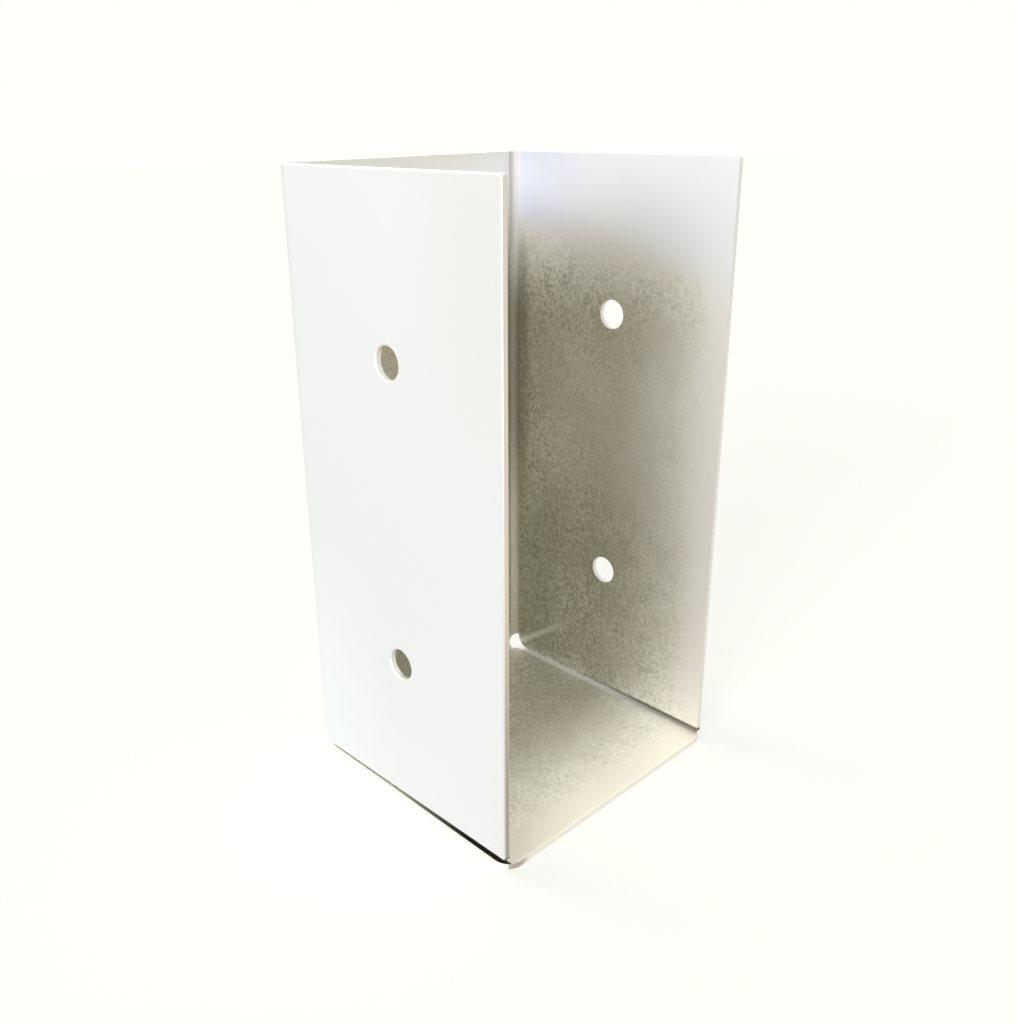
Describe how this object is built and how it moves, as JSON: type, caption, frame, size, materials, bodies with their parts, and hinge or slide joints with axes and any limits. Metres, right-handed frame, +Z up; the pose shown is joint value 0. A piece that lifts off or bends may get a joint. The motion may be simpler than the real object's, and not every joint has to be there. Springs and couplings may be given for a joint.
{
  "type": "timber post base",
  "caption": "Folded steel post shoe: a bottom plate, a web and two side flanges with in-line screw holes that hold the foot of a square timber post.",
  "frame": {"origin": "centre of the footprint, on the underside of the bottom plate", "axes": "+Z up along the post; +Y towards the web, so the open front faces -Y; +X towards the right flange as seen from the open front"},
  "size_m": [0.075, 0.072, 0.15],
  "materials": {
    "zinc_coated_steel": "bare hot-dip zinc coating on steel sheet, semi-gloss, lightly mottled inside"
  },
  "bodies": {
    "root": {"post_base": "zinc_coated_steel"}
  },
  "joints": []
}
